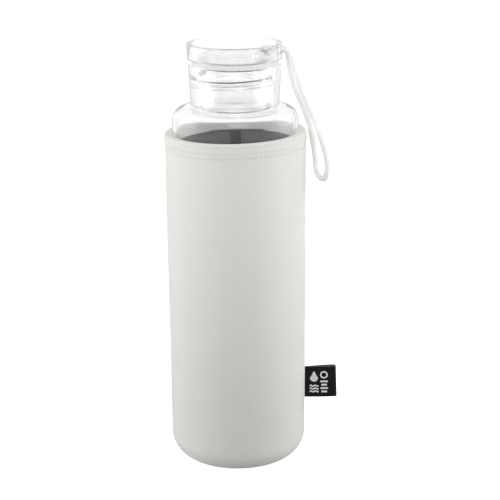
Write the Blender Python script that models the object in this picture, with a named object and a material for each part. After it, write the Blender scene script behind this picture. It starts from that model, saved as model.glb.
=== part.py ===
"""Glass water bottle with a clear screw lid, a carry cord and a soft fabric sleeve.

Metres, +Z up. The bottle's axis is the Z axis and the underside of the sleeve lies on z = 0.
The cord leaves the lid at +X, and the folded label hangs out of the sleeve at +X too.
The sleeve's upright seam is at +Y, behind.
"""
from math import cos, pi, radians, sin, tan

import bmesh
import bpy
from mathutils import Matrix, Vector

# ---- driving dimensions --------------------------------------------------------------------
TURNED_SIDES = 48          # sides of every large turned piece
GAP = 0.0003               # clearance between pieces that touch

HEIGHT = 0.2200            # floor to the lid's rim

SLEEVE_FOOT_R = 0.0353     # sleeve's outer radius above the rounded bottom edge
SLEEVE_RIM_R = 0.0360      # and at its rim
SLEEVE_RIM_Z = 0.1750
SLEEVE_WALL = 0.0022
SLEEVE_CORNER = 0.0130     # rounding between the side and the bottom
BASE_PANEL_R = 0.0205      # round bottom panel sewn into the sleeve
HEM_DEPTH = 0.0060         # hem stitch line, below the rim
RIM_ROUND = 0.0011

GLASS_R = 0.0322
GLASS_WALL = 0.0017
GLASS_FOOT_Z = SLEEVE_WALL + GAP
GLASS_HEEL = 0.0105        # rounding of the bottom edge
GLASS_PUNT = 0.0016        # how far the bottom is pushed up
SHOULDER_Z = 0.1872        # where the rounding at the bottle's side would end level
SHOULDER_SLOPE = 7.3       # degrees the shoulder rises towards the neck
SHOULDER_GLASS = 0.0013    # the same drop from outside to inside, at the rounding
SHOULDER_ROUND = 0.0062
INNER_ROUND = 0.0050
INNER_SLOPE = 6.1
NECK_R = 0.0176
NECK_FILLET = 0.0027
NECK_WALL = 0.0026
INNER_FILLET = 0.0057
MOUTH_Z = 0.2083

THREAD_PITCH = 0.0040
THREAD_TURNS = 1.6
NECK_THREAD_R = 0.0189     # crest of the thread on the neck
NECK_THREAD_Z = 0.1992     # where that thread starts
LID_THREAD_R = 0.0180      # crest of the thread inside the lid
THREAD_ROOT_HALF = 0.00100
THREAD_CREST_HALF = 0.00045
THREAD_EMBED = 0.0006      # how deep a thread's foot goes into its wall

LID_TOP_R = 0.0243
LID_BOTTOM_R = 0.0225
LID_BOTTOM_Z = 0.1885
LID_BORE_R = 0.0195
LID_RIM_WALL = 0.0033
RECESS_FLOOR_Z = 0.2112    # floor of the open recess in the lid's top
CAP_UNDERSIDE_Z = 0.2094   # underside of that floor, which the seal lies against
SEAL_INNER_R = 0.0135
SEAL_OUTER_R = 0.0186

CORD_D = 0.0033
STRAND_Y = 0.00190         # half the distance between the two strands where they leave the lid
EXIT_X = 0.0261            # the loop swings about this line, just outside the lid
EXIT_Z = 0.2158
EXIT_SLOPE = radians(12)   # the strands leave the lid downwards
HOLE_Z = 0.2165
HOLE_WIDTH = 0.0078
HOLE_HEIGHT = 0.0047
KNOT_SIZE = (0.0034, 0.0050, 0.0040)
KNOT_X = 0.0165

LABEL_Z = 0.0387
LABEL_HEIGHT = 0.0170
LABEL_LENGTH = 0.0163
LABEL_CLOTH = 0.0004
LABEL_ROOT_GAP = 0.0006
LABEL_FOLD_GAP = 0.0026    # the loop opens towards its fold
LABEL_YAW = radians(5)

TAPE_WIDTH = 0.0060
TAPE_CLOTH = 0.0003
THREAD_D = 0.0006          # sewing thread, as a plain round ring or rod

# The cord's route from its front strand, round the loop, to its rear strand.
CORD_ROUTE = [
    (0.0261, -0.0019, 0.2158),
    (0.0274, -0.0023, 0.2147),
    (0.0285, -0.0028, 0.2124),
    (0.0294, -0.0033, 0.2090),
    (0.0308, -0.0036, 0.2045),
    (0.0324, -0.0034, 0.1994),
    (0.0346, -0.0028, 0.1936),
    (0.0369, -0.0023, 0.1878),
    (0.0392, -0.0020, 0.1823),
    (0.0414, -0.0022, 0.1769),
    (0.0434, -0.0031, 0.1714),
    (0.0450, -0.0042, 0.1664),
    (0.0462, -0.0051, 0.1616),
    (0.0467, -0.0053, 0.1562),
    (0.0459, -0.0037, 0.1513),
    (0.0440, 0.0000, 0.1494),
    (0.0421, 0.0037, 0.1510),
    (0.0412, 0.0053, 0.1554),
    (0.0408, 0.0050, 0.1604),
    (0.0401, 0.0040, 0.1655),
    (0.0390, 0.0030, 0.1718),
    (0.0374, 0.0021, 0.1784),
    (0.0345, 0.0018, 0.1861),
    (0.0312, 0.0022, 0.1939),
    (0.0289, 0.0027, 0.2003),
    (0.0276, 0.0031, 0.2066),
    (0.0272, 0.0029, 0.2113),
    (0.0269, 0.0024, 0.2139),
    (0.0261, 0.0019, 0.2158),
]


# ---- helpers -------------------------------------------------------------------------------
def clear_scene():
    for thing in list(bpy.data.objects):
        bpy.data.objects.remove(thing, do_unlink=True)


def material(name, colour, roughness, metallic=0.0, alpha=1.0):
    mat = bpy.data.materials.new(name)
    mat.use_nodes = True
    shader = mat.node_tree.nodes["Principled BSDF"]
    shader.inputs["Base Color"].default_value = (*colour, 1.0)
    shader.inputs["Roughness"].default_value = roughness
    shader.inputs["Metallic"].default_value = metallic
    shader.inputs["Alpha"].default_value = alpha
    return mat


def add_mesh(name, bm, mat=None, smooth=True):
    """Turns a bmesh into an object, with its faces pointing out."""
    bmesh.ops.recalc_face_normals(bm, faces=bm.faces)
    mesh = bpy.data.meshes.new(name)
    bm.to_mesh(mesh)
    bm.free()
    if smooth:
        mesh.shade_smooth()
        mesh.set_sharp_from_angle(angle=radians(35))
    if mat:
        mesh.materials.append(mat)
    thing = bpy.data.objects.new(name, mesh)
    bpy.context.collection.objects.link(thing)
    return thing


def arc(centre_r, centre_z, radius, start, end, steps):
    """Points on an arc of a turned profile, angles in degrees, both ends included."""
    points = []
    for step in range(steps + 1):
        angle = radians(start + (end - start) * step / steps)
        points.append((centre_r + radius * cos(angle), centre_z + radius * sin(angle)))
    return points


def turned(name, profile, mat, sides=TURNED_SIDES):
    """Spins a closed profile of (radius, z) points about the Z axis."""
    bm = bmesh.new()
    rings = []
    for radius, z in profile:
        if radius == 0.0:
            rings.append([bm.verts.new((0.0, 0.0, z))] * sides)
            continue
        ring = []
        for side in range(sides):
            angle = 2 * pi * side / sides
            ring.append(bm.verts.new((radius * cos(angle), radius * sin(angle), z)))
        rings.append(ring)
    for index, ring in enumerate(rings):
        after = rings[(index + 1) % len(rings)]
        if ring[0] is ring[1] and after[0] is after[1]:
            continue
        for side in range(sides):
            other = (side + 1) % sides
            corners = []
            for vert in (ring[side], ring[other], after[other], after[side]):
                if vert not in corners:
                    corners.append(vert)
            bm.faces.new(corners)
    return add_mesh(name, bm, mat)


def guide(thing):
    """Marks an object as a tool that only shapes another one."""
    thing.hide_render = True
    thing.display_type = "WIRE"
    return thing


def boolean(thing, tool, operation):
    modifier = thing.modifiers.new(f"{operation.lower()} {tool.name}", "BOOLEAN")
    modifier.operation = operation
    modifier.solver = "EXACT"
    modifier.object = guide(tool)


def screw_thread(name, embed_r, root_r, crest_r, start_z):
    """A right-hand thread as one closed ridge, which runs out at both ends.

    The ridge starts at embed_r inside the wall, so that it joins it in a union.
    """
    bm = bmesh.new()
    steps = round(THREAD_TURNS * TURNED_SIDES)
    run_out = TURNED_SIDES // 8
    sections = []
    for step in range(steps + 1):
        angle = 2 * pi * step / TURNED_SIDES
        z = start_z + THREAD_PITCH * step / TURNED_SIDES
        rise = min(1.0, step / run_out, (steps - step) / run_out)
        tip = root_r + (crest_r - root_r) * (1.1 * rise - 0.1)
        section = []
        for radius, offset in (
            (embed_r, -THREAD_ROOT_HALF),
            (root_r, -THREAD_ROOT_HALF),
            (tip, -THREAD_CREST_HALF),
            (tip, THREAD_CREST_HALF),
            (root_r, THREAD_ROOT_HALF),
            (embed_r, THREAD_ROOT_HALF),
        ):
            section.append(bm.verts.new((radius * cos(angle), radius * sin(angle), z + offset)))
        sections.append(section)
    for before, after in zip(sections, sections[1:]):
        for corner in range(len(before)):
            other = (corner + 1) % len(before)
            bm.faces.new((before[corner], before[other], after[other], after[corner]))
    bm.faces.new(sections[0])
    bm.faces.new(sections[-1])
    return add_mesh(name, bm)


def sleeve_outer_r(z):
    """Sleeve's outer radius on its straight side."""
    part = (z - SLEEVE_CORNER) / (SLEEVE_RIM_Z - SLEEVE_CORNER)
    return SLEEVE_FOOT_R + (SLEEVE_RIM_R - SLEEVE_FOOT_R) * part


def lid_outer_r(z):
    part = (z - LID_BOTTOM_Z) / (HEIGHT - LID_BOTTOM_Z)
    return LID_BOTTOM_R + (LID_TOP_R - LID_BOTTOM_R) * part


# ---- glass ---------------------------------------------------------------------------------
def shoulder_line(side_r, top_z, corner_round, slope, neck_r, fillet):
    """The side turning into the sloping shoulder, and that into the neck, from below."""
    corner = arc(side_r - corner_round, top_z - corner_round, corner_round, 0, 90 - slope, 5)
    end_r, end_z = corner[-1]
    fillet_r = neck_r + fillet
    fillet_z = end_z + (end_r - fillet_r) * tan(radians(slope)) + fillet / cos(radians(slope))
    return [*corner, *arc(fillet_r, fillet_z, fillet, -90 - slope, -180, 4)]


def make_glass_bottle():
    glass = material("glass", (0.92, 0.95, 0.95), 0.03, alpha=0.3)
    heel_r = GLASS_R - GLASS_HEEL
    inner_r = GLASS_R - GLASS_WALL
    inner_neck_r = NECK_R - NECK_WALL
    floor_z = GLASS_FOOT_Z + GLASS_PUNT + GLASS_WALL
    heel_inner = GLASS_HEEL - GLASS_WALL
    lip = 0.0008
    floor_crown = 0.0004
    outside = shoulder_line(GLASS_R, SHOULDER_Z, SHOULDER_ROUND, SHOULDER_SLOPE,
                            NECK_R, NECK_FILLET)
    inside = shoulder_line(inner_r, SHOULDER_Z - SHOULDER_GLASS, INNER_ROUND, INNER_SLOPE,
                           inner_neck_r, INNER_FILLET)
    profile = [
        (0.0, GLASS_FOOT_Z + GLASS_PUNT),
        (heel_r * 0.8, GLASS_FOOT_Z + GLASS_PUNT * 0.6),
        *arc(heel_r, GLASS_FOOT_Z + GLASS_HEEL, GLASS_HEEL, -90, 0, 5),
        *outside,
        *arc(NECK_R - lip, MOUTH_Z - lip, lip, 0, 90, 2),
        *arc(inner_neck_r + lip, MOUTH_Z - lip, lip, 90, 180, 2),
        *reversed(inside),
        *arc(inner_r - heel_inner, floor_z + heel_inner, heel_inner, 0, -90, 4),
        (0.0, floor_z + floor_crown),
    ]
    bottle = turned("glass_bottle", profile, glass)
    thread = screw_thread("neck_thread_shape", NECK_R - THREAD_EMBED, NECK_R, NECK_THREAD_R,
                          NECK_THREAD_Z)
    boolean(bottle, thread, "UNION")


# ---- lid -----------------------------------------------------------------------------------
def make_lid():
    clear_plastic = material("clear plastic", (0.95, 0.96, 0.96), 0.06, alpha=0.3)
    edge = 0.0007
    foot_edge = 0.0004
    recess_top_r = LID_TOP_R - LID_RIM_WALL
    recess_draft = 0.0006
    recess_floor_r = recess_top_r - recess_draft
    floor_round = 0.0012
    outer_top = lid_outer_r(HEIGHT - edge)
    outer_bottom = lid_outer_r(LID_BOTTOM_Z + foot_edge)
    profile = [
        (0.0, CAP_UNDERSIDE_Z),
        (LID_BORE_R, CAP_UNDERSIDE_Z),
        (LID_BORE_R, LID_BOTTOM_Z + edge),
        (LID_BORE_R + edge, LID_BOTTOM_Z),
        *arc(outer_bottom - foot_edge, LID_BOTTOM_Z + foot_edge, foot_edge, -90, 0, 2),
        *arc(outer_top - edge, HEIGHT - edge, edge, 0, 90, 2),
        *arc(recess_top_r + edge, HEIGHT - edge, edge, 90, 180, 2),
        *arc(recess_floor_r - floor_round, RECESS_FLOOR_Z + floor_round, floor_round, 0, -90, 3),
        (0.0, RECESS_FLOOR_Z),
    ]
    lid = turned("lid", profile, clear_plastic)
    # The lid's thread lies half a pitch from the neck's, so each sits in the other's groove.
    thread = screw_thread("lid_thread_shape", LID_BORE_R + THREAD_EMBED, LID_BORE_R, LID_THREAD_R,
                          NECK_THREAD_Z - THREAD_PITCH / 2)
    boolean(lid, thread, "UNION")
    boolean(lid, cord_hole(), "DIFFERENCE")


def cord_hole():
    """A slot with round ends, wider than high, laid along X through the wall of the recess."""
    bm = bmesh.new()
    flat = HOLE_WIDTH / 2 - HOLE_HEIGHT / 2
    outline = []
    for side in (1, -1):
        for step in range(9):
            angle = -pi / 2 + pi * step / 8
            y = side * (flat + HOLE_HEIGHT / 2 * cos(angle))
            outline.append((y, HOLE_Z + side * HOLE_HEIGHT / 2 * sin(angle)))
    near = [bm.verts.new((LID_TOP_R - 2.5 * LID_RIM_WALL, y, z)) for y, z in outline]
    far = [bm.verts.new((LID_TOP_R + LID_RIM_WALL, y, z)) for y, z in outline]
    bm.faces.new(near)
    bm.faces.new(far)
    for index in range(len(outline)):
        other = (index + 1) % len(outline)
        bm.faces.new((near[index], near[other], far[other], far[index]))
    return add_mesh("cord_hole_shape", bm)


def make_lid_seal():
    silicone = material("clear silicone", (0.85, 0.86, 0.86), 0.4, alpha=0.6)
    top = CAP_UNDERSIDE_Z - GAP
    bottom = MOUTH_Z + GAP
    profile = [
        (SEAL_INNER_R, bottom),
        (SEAL_OUTER_R, bottom),
        (SEAL_OUTER_R, top),
        (SEAL_INNER_R, top),
    ]
    turned("lid_seal", profile, silicone)


# ---- cord ----------------------------------------------------------------------------------
def smooth_route(points, spacing):
    """Points at even spacing along the smooth curve through the route's own points."""
    route = [Vector(point) for point in points]
    ends = [route[0] * 2 - route[1], *route, route[-1] * 2 - route[-2]]
    fine = []
    for before, start, end, after in zip(ends, ends[1:], ends[2:], ends[3:]):
        for step in range(20):
            t = step / 20
            fine.append(0.5 * ((2 * start) + (end - before) * t
                               + (2 * before - 5 * start + 4 * end - after) * t ** 2
                               + (3 * start - before - 3 * end + after) * t ** 3))
    fine.append(route[-1])
    total = sum((b - a).length for a, b in zip(fine, fine[1:]))
    count = round(total / spacing)
    even = [fine[0]]
    travelled = 0.0
    for a, b in zip(fine, fine[1:]):
        travelled += (b - a).length
        if travelled >= total * len(even) / count and len(even) < count:
            even.append(b)
    even.append(fine[-1])
    return even


def make_carry_cord():
    white_cord = material("white cord", (0.85, 0.85, 0.82), 0.85)
    curve = bpy.data.curves.new("carry_cord", "CURVE")
    curve.dimensions = "3D"
    curve.bevel_depth = CORD_D / 2
    curve.bevel_resolution = 2
    curve.use_fill_caps = True
    points = smooth_route(CORD_ROUTE, CORD_D * 1.6)
    spline = curve.splines.new("POLY")
    spline.points.add(len(points) - 1)
    for target, point in zip(spline.points, points):
        target.co = (*point, 1.0)
    curve.materials.append(white_cord)
    cord = bpy.data.objects.new("carry_cord", curve)
    bpy.context.collection.objects.link(cord)


def make_cord_knot():
    """The cord's two ends, knotted together in the recess, with the strands through the hole."""
    white_cord = material("knotted cord", (0.85, 0.85, 0.82), 0.85)
    bm = bmesh.new()
    bmesh.ops.create_icosphere(bm, subdivisions=2, radius=1.0)
    bmesh.ops.scale(bm, vec=KNOT_SIZE, verts=bm.verts)
    bmesh.ops.translate(bm, vec=(KNOT_X, 0.0, RECESS_FLOOR_Z + GAP + KNOT_SIZE[2]),
                        verts=bm.verts)
    knot = add_mesh("cord_knot", bm, white_cord)
    down = Vector((cos(EXIT_SLOPE), 0.0, -sin(EXIT_SLOPE)))
    length = 0.0050
    swing_room = 0.0020    # keeps the loop's ends clear of these as the loop swings
    for name, y in (("front_strand_shape", -STRAND_Y), ("rear_strand_shape", STRAND_Y)):
        centre = Vector((EXIT_X, y, EXIT_Z)) - down * (swing_room + length / 2)
        bm = bmesh.new()
        bmesh.ops.create_cone(bm, cap_ends=True, segments=10, radius1=CORD_D / 2,
                              radius2=CORD_D / 2, depth=length,
                              matrix=Matrix.Translation(centre)
                              @ Matrix.Rotation(pi / 2 + EXIT_SLOPE, 4, "Y"))
        boolean(knot, add_mesh(name, bm), "UNION")


# ---- sleeve --------------------------------------------------------------------------------
def make_sleeve_body():
    fabric = material("sleeve fabric", (0.74, 0.73, 0.71), 0.9)
    corner_r = SLEEVE_FOOT_R - SLEEVE_CORNER
    outer_rim = sleeve_outer_r(SLEEVE_RIM_Z - RIM_ROUND)
    inner_rim = outer_rim - SLEEVE_WALL
    hole_r = BASE_PANEL_R + GAP
    inner_corner = SLEEVE_CORNER - SLEEVE_WALL
    profile = [
        (hole_r, SLEEVE_WALL),
        (hole_r, 0.0),
        *arc(corner_r, SLEEVE_CORNER, SLEEVE_CORNER, -90, 0, 6),
        *arc(outer_rim - RIM_ROUND, SLEEVE_RIM_Z - RIM_ROUND, RIM_ROUND, 0, 90, 2),
        *arc(inner_rim + RIM_ROUND, SLEEVE_RIM_Z - RIM_ROUND, RIM_ROUND, 90, 180, 2),
        *arc(corner_r, SLEEVE_CORNER, inner_corner, 0, -90, 5),
    ]
    turned("sleeve_body", profile, fabric)


def make_sleeve_base():
    fabric = material("base fabric", (0.72, 0.71, 0.69), 0.9)
    bm = bmesh.new()
    bmesh.ops.create_cone(bm, cap_ends=True, segments=TURNED_SIDES, radius1=BASE_PANEL_R,
                          radius2=BASE_PANEL_R, depth=SLEEVE_WALL)
    bmesh.ops.translate(bm, vec=(0.0, 0.0, SLEEVE_WALL / 2), verts=bm.verts)
    add_mesh("sleeve_base", bm, fabric)


def make_seam_tape():
    """A flat tape that covers the upright seam inside the sleeve, at the back."""
    tape = material("seam tape", (0.06, 0.06, 0.06), 0.8)
    bm = bmesh.new()
    rows = []
    foot_z = SLEEVE_CORNER + 0.002
    top_z = SLEEVE_RIM_Z - 0.003
    strips = 4
    for z in (foot_z, top_z):
        outer = sleeve_outer_r(z) - SLEEVE_WALL - GAP
        row = []
        for radius in (outer, outer - TAPE_CLOTH):
            order = range(strips + 1) if radius == outer else reversed(range(strips + 1))
            for strip in order:
                angle = pi / 2 + (strip / strips - 0.5) * TAPE_WIDTH / outer
                row.append(bm.verts.new((radius * cos(angle), radius * sin(angle), z)))
        rows.append(row)
    bm.faces.new(rows[0])
    bm.faces.new(rows[1])
    for index in range(len(rows[0])):
        other = (index + 1) % len(rows[0])
        bm.faces.new((rows[0][index], rows[0][other], rows[1][other], rows[1][index]))
    add_mesh("seam_tape", bm, tape)


def make_hem_thread():
    white_thread = material("hem thread", (0.82, 0.81, 0.79), 0.7)
    z = SLEEVE_RIM_Z - HEM_DEPTH
    centre_r = sleeve_outer_r(z) + GAP + THREAD_D / 2
    ring = arc(centre_r, z, THREAD_D / 2, 0, 300, 5)
    turned("hem_thread", ring, white_thread)


def make_seam_thread():
    """Thread along the outside of the upright seam, at the back."""
    white_thread = material("seam thread", (0.82, 0.81, 0.79), 0.7)
    foot = Vector((0.0, sleeve_outer_r(SLEEVE_CORNER) + GAP + THREAD_D / 2, SLEEVE_CORNER))
    top_z = SLEEVE_RIM_Z - HEM_DEPTH - 0.002
    top = Vector((0.0, sleeve_outer_r(top_z) + GAP + THREAD_D / 2, top_z))
    along = top - foot
    turn = along.to_track_quat("Z", "Y").to_matrix().to_4x4()
    bm = bmesh.new()
    bmesh.ops.create_cone(bm, cap_ends=True, segments=6, radius1=THREAD_D / 2,
                          radius2=THREAD_D / 2, depth=along.length,
                          matrix=Matrix.Translation((foot + top) / 2) @ turn)
    add_mesh("seam_thread", bm, white_thread)


def make_side_label():
    """A ribbon folded into a loop, its two ends on the sleeve and its fold outwards."""
    ribbon = material("black label", (0.012, 0.012, 0.012), 0.5)
    root_x = sleeve_outer_r(LABEL_Z + LABEL_HEIGHT / 2) + GAP + 0.0004
    root_half = LABEL_ROOT_GAP / 2
    inner_fold = LABEL_FOLD_GAP / 2
    outer_fold = inner_fold + LABEL_CLOTH
    straight = LABEL_LENGTH - outer_fold
    bend = [radians(angle) for angle in range(-90, 91, 30)]
    outline = [(0.0, -root_half - LABEL_CLOTH)]
    outline += [(straight + outer_fold * cos(a), outer_fold * sin(a)) for a in bend]
    outline += [(0.0, root_half + LABEL_CLOTH), (0.0, root_half)]
    outline += [(straight + inner_fold * cos(a), inner_fold * sin(a)) for a in reversed(bend)]
    outline += [(0.0, -root_half)]
    bm = bmesh.new()
    foot = [bm.verts.new((x, y, -LABEL_HEIGHT / 2)) for x, y in outline]
    top = [bm.verts.new((x, y, LABEL_HEIGHT / 2)) for x, y in outline]
    bm.faces.new(foot)
    bm.faces.new(top)
    for index in range(len(outline)):
        other = (index + 1) % len(outline)
        bm.faces.new((foot[index], foot[other], top[other], top[index]))
    label = add_mesh("side_label", bm, ribbon)
    label.location = (root_x, 0.0, LABEL_Z)
    label.rotation_euler = (0.0, 0.0, LABEL_YAW)


clear_scene()
make_glass_bottle()
make_lid()
make_lid_seal()
make_carry_cord()
make_cord_knot()
make_sleeve_body()
make_sleeve_base()
make_seam_tape()
make_hem_thread()
make_seam_thread()
make_side_label()
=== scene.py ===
"""Looks of the glass water bottle: clear glass, a clear screw lid on a cord, and a soft sleeve."""
import math

import bmesh
import bpy
import numpy as np
from mathutils import Matrix, Vector


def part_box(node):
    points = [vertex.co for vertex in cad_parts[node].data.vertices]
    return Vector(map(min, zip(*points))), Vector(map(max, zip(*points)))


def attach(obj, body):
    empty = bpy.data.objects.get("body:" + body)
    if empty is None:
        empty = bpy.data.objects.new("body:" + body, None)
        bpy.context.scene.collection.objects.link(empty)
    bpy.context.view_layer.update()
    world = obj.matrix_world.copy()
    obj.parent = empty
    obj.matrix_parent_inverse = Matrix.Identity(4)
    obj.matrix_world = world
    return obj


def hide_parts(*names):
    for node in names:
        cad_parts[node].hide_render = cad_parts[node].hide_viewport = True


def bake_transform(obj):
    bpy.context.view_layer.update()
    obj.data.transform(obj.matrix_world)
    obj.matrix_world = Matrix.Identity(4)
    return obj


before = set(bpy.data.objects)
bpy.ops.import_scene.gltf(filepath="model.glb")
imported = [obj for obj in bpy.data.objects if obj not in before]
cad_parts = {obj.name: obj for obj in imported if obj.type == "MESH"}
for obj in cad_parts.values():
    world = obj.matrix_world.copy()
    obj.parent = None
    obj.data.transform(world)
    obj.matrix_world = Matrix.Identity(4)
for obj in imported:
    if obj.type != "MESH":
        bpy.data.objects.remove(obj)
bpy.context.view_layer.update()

# ---- sizes, in metres, from the frame where it holds them ----
SLEEVE_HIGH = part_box("sleeve_body")[1]
GLASS_LOW, GLASS_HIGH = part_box("glass_bottle")
LID_LOW, LID_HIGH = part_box("lid")
SEAL_LOW, SEAL_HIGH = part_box("lid_seal")
PANEL_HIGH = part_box("sleeve_base")[1]
LABEL_LOW, LABEL_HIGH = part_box("side_label")

RIM_R = SLEEVE_HIGH.x
RIM_Z = SLEEVE_HIGH.z
FOOT_R = RIM_R - 0.0007         # the sleeve narrows a little towards its foot
WALL = PANEL_HIGH.z             # thickness of the cloth
CORNER = 0.0130                 # radius of the rounded bottom edge
RIM_TILT = 0.0006               # rise of the rim on the cord's side
HEM_DEPTH = 0.0060              # from the rim down to the middle of the stitched rows
HEM_TURN = 0.0064               # how far the turned hem reaches down inside
HEM_ROWS = (-0.0013, 0.0013)    # the two rows, from their middle
HEM_STITCHES = 92               # in each row
PANEL_R = PANEL_HIGH.x
BACK = math.pi / 2              # the direction of the upright seam

GLASS_R = GLASS_HIGH.x
GLASS_WALL = 0.0017
SHOULDER_Z = 0.1872
SHOULDER_ROUND = 0.0062
SHOULDER_SLOPE = 7.3            # degrees
SHOULDER_GLASS = 0.0013         # thickness of the glass in the shoulder
INNER_ROUND = 0.0050
INNER_SLOPE = 6.1
HEEL = 0.0105                   # radius of the bottle's bottom edge
PUNT = 0.0016                   # how far its middle is pushed up
NECK_R = 0.0176
NECK_FILLET = 0.0027
NECK_WALL = 0.0026
INNER_FILLET = 0.0057
PITCH = 0.0040
TURNS = 1.6
THREAD_DEPTH = 0.0013
THREAD_HALF = 0.00105           # half the thread's width
THREAD_START = 0.1992
THREAD_STEP = 0.00018           # longest stretch of the outline where a thread stands on it
CLEAR_SIDES = 168               # sides of the turned glass and lid
AXIS_R = 0.0004                 # where a turned outline ends, just off its axis

LID_BORE_R = 0.0195
LID_THREAD_DEPTH = 0.0015
LID_BOTTOM_R = 0.0225
CAP_UNDERSIDE_Z = 0.2094
RECESS_FLOOR_Z = 0.2112
LID_RIM_WALL = 0.0033

CORD_D = 0.0033
TAIL_D = 0.0031
KNOT_D = 0.0030
BRAID_STRANDS = 6               # in each of the two directions
BRAID_LAY = 0.0019              # length along the cord of one crossing
CORD_STEP = 0.00024
KNOT_STEP = 0.0003

# ---- colours: dark and light ends of each material's range: its own unevenness, and for the knits, cord, tape and ribbon also painted shade in the dips between stitches, strands and threads ----
FACE_CLOTH = ((0.70, 0.69, 0.665), (0.80, 0.79, 0.765))
LINING = ((0.12, 0.12, 0.12), (0.19, 0.19, 0.188))
# CORD: its dark end is painted shade between the braid's strands
CORD = ((0.765, 0.76, 0.745), (0.865, 0.86, 0.85))
THREAD = ((0.62, 0.61, 0.59), (0.82, 0.81, 0.79))
SILICONE = ((0.86, 0.88, 0.88), (0.93, 0.94, 0.94))
TAPE = ((0.018, 0.018, 0.018), (0.035, 0.035, 0.035))
RIBBON = ((0.004, 0.004, 0.004), (0.010, 0.010, 0.010))
RIBBON_REVERSE = (0.16, 0.16, 0.16)
PRINT = ((0.72, 0.72, 0.71), (0.88, 0.88, 0.87))

# ---- the cord's route: out through the hole, round the loop and back in again ----
LOOP_ROUTE = [
    (0.0261, -0.0019, 0.2158),
    (0.0274, -0.0023, 0.2147),
    (0.0285, -0.0028, 0.2124),
    (0.0294, -0.0033, 0.2090),
    (0.0308, -0.0036, 0.2045),
    (0.0324, -0.0034, 0.1994),
    (0.0346, -0.0028, 0.1936),
    (0.0369, -0.0023, 0.1878),
    (0.0392, -0.0020, 0.1823),
    (0.0414, -0.0022, 0.1769),
    (0.0434, -0.0031, 0.1714),
    (0.0450, -0.0042, 0.1664),
    (0.0462, -0.0051, 0.1616),
    (0.0467, -0.0053, 0.1562),
    (0.0459, -0.0037, 0.1513),
    (0.0440, 0.0000, 0.1494),
    (0.0421, 0.0037, 0.1510),
    (0.0412, 0.0053, 0.1554),
    (0.0408, 0.0050, 0.1604),
    (0.0401, 0.0040, 0.1655),
    (0.0390, 0.0030, 0.1718),
    (0.0374, 0.0021, 0.1784),
    (0.0345, 0.0018, 0.1861),
    (0.0312, 0.0022, 0.1939),
    (0.0289, 0.0027, 0.2003),
    (0.0276, 0.0031, 0.2066),
    (0.0272, 0.0029, 0.2113),
    (0.0269, 0.0024, 0.2139),
    (0.0261, 0.0019, 0.2158),
]
# Its two ends inside the recess, from the knot to the hole and from the hole to the knot.
FRONT_LEAD = [(0.0186, -0.0014, 0.2164), (0.0222, -0.0019, 0.2166), (0.0243, -0.0019, 0.2162)]
REAR_LEAD = [(0.0243, 0.0019, 0.2162), (0.0222, 0.0019, 0.2166), (0.0186, 0.0014, 0.2164)]


# ---- camera ----------------------------------------------
def make_camera():
    lens = bpy.data.cameras.new("camera")
    lens.sensor_width = 36
    lens.lens = 116.3
    lens.clip_start = 0.01
    camera = bpy.data.objects.new("camera", lens)
    bpy.context.scene.collection.objects.link(camera)
    camera.matrix_world = (
        Matrix.Translation((0.00695, -0.805, 0.344))
        @ Matrix.Rotation(math.radians(90 - 16.1), 4, "X")
        @ Matrix.Rotation(math.radians(-0.5), 4, "Z")
    )
    bpy.context.scene.camera = camera


# ---- numbers and shapes ----------------------------------
def ease(x, low, high):
    """0 below low, 1 above high, and smooth between."""
    t = np.clip((x - low) / (high - low), 0.0, 1.0)
    return t * t * (3 - 2 * t)


def hump(x, centre, width):
    """1 at the centre, falling smoothly to 0 on both sides."""
    return np.exp(-(((x - centre) / width) ** 2))


def arc(centre_r, centre_z, radius, start, end, steps):
    """Points of an outline along a round stretch; start and end are in degrees."""
    points = []
    for step in range(steps + 1):
        angle = math.radians(start + (end - start) * step / steps)
        points.append((centre_r + radius * math.cos(angle), centre_z + radius * math.sin(angle)))
    return points


def dense(points, step):
    """The same outline with no stretch longer than step."""
    fine = [points[0]]
    for before, after in zip(points, points[1:]):
        length = math.dist(before, after)
        count = max(1, math.ceil(length / step))
        for index in range(1, count + 1):
            t = index / count
            fine.append(tuple(b + (a - b) * t for b, a in zip(before, after)))
    return fine


def new_object(name, points, faces, materials, smooth=True):
    mesh = bpy.data.meshes.new(name)
    mesh.from_pydata([tuple(p) for p in points], [], faces)
    mesh.validate()
    for mat in materials:
        mesh.materials.append(mat)
    if smooth:
        mesh.shade_smooth()
    thing = bpy.data.objects.new(name, mesh)
    bpy.context.scene.collection.objects.link(thing)
    return thing


def face_out(thing):
    """Turns every face outwards."""
    bm = bmesh.new()
    bm.from_mesh(thing.data)
    bmesh.ops.recalc_face_normals(bm, faces=bm.faces)
    bm.to_mesh(thing.data)
    bm.free()


def spun(name, rings, materials, closed=False, row_slots=None, uv=None):
    """A skin over rings of points, rings[row][side]; its ends close on the axis, or on each other."""
    rows, sides, _ = rings.shape
    points = rings.reshape(-1, 3).tolist()
    faces = []
    slots = []
    pairs = rows if closed else rows - 1
    for row in range(pairs):
        after = (row + 1) % rows
        for side in range(sides):
            other = (side + 1) % sides
            faces.append((row * sides + side, row * sides + other,
                          after * sides + other, after * sides + side))
            slots.append(row_slots[row] if row_slots else 0)
    if not closed:
        for row in (0, rows - 1):
            centre = len(points)
            points.append(rings[row].mean(axis=0).tolist())
            for side in range(sides):
                faces.append((row * sides + side, row * sides + (side + 1) % sides, centre))
                slots.append(row_slots[row] if row_slots else 0)
    thing = new_object(name, points, faces, materials)
    thing.data.polygons.foreach_set("material_index", slots)
    if uv is not None:
        add_uv(thing, uv, rows, sides)
    face_out(thing)
    return thing


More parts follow.
